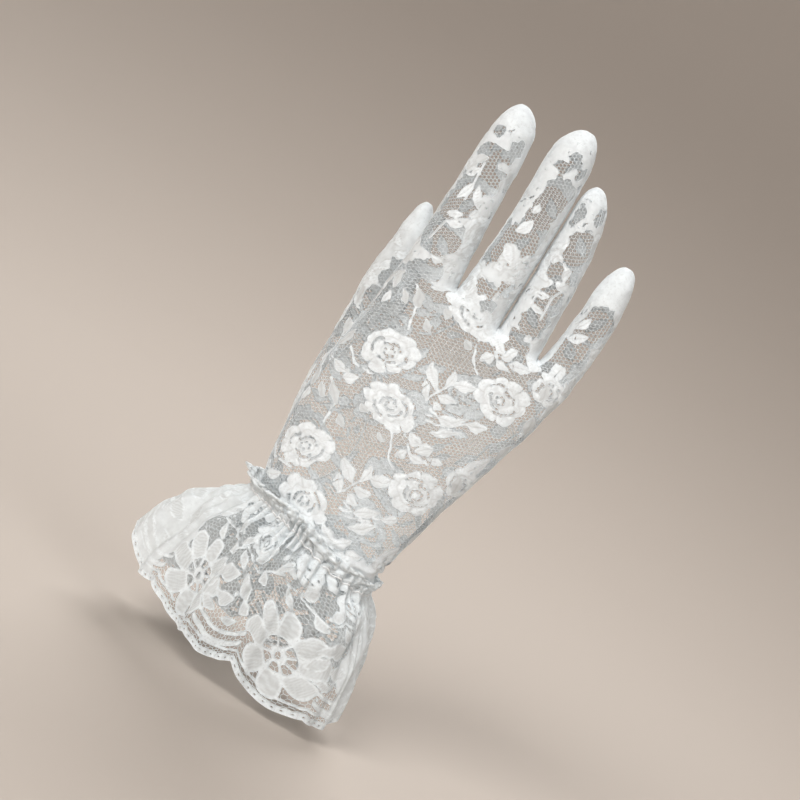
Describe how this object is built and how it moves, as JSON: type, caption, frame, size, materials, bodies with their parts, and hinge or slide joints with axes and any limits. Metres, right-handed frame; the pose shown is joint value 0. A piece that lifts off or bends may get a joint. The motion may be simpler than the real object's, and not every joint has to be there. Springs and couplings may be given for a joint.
{
  "type": "lace glove",
  "caption": "Short lace dress glove for the right hand in its worn form, hollow, with sewn finger stalls, a set-in thumb, a gathered wrist and a scalloped cuff ruffle",
  "frame": {"origin": "the middle of the wrist at the glove's gathered waist, where the hand goes in", "axes": "+Z from the wrist to the fingertips, -Y out of the back of the hand, +Y out of the palm, -X on the thumb's side"},
  "size_m": [0.1101, 0.0715, 0.2305],
  "materials": {
    "lace": "matt white warp-knit lace of fine yarn, with dense flowers and leaves on an open net",
    "border_lace": "matt white warp-knit border lace, with daisies, leaves and parallel bands on a coarser net and a dense scalloped edge",
    "seam_tape": "doubled lace in a narrow overlocked seam, opaque white",
    "sewing_thread": "white elastic gathering thread with puckered lace, matt"
  },
  "bodies": {
    "root": {"hand": "lace", "index_finger": "lace", "middle_finger": "lace", "ring_finger": "lace", "little_finger": "lace", "thumb": "lace", "cuff_ruffle": "border_lace", "gathering_seam": "sewing_thread", "seam_index_middle": "seam_tape", "seam_middle_ring": "seam_tape", "seam_ring_little": "seam_tape", "seam_outer_side": "seam_tape"}
  },
  "joints": []
}
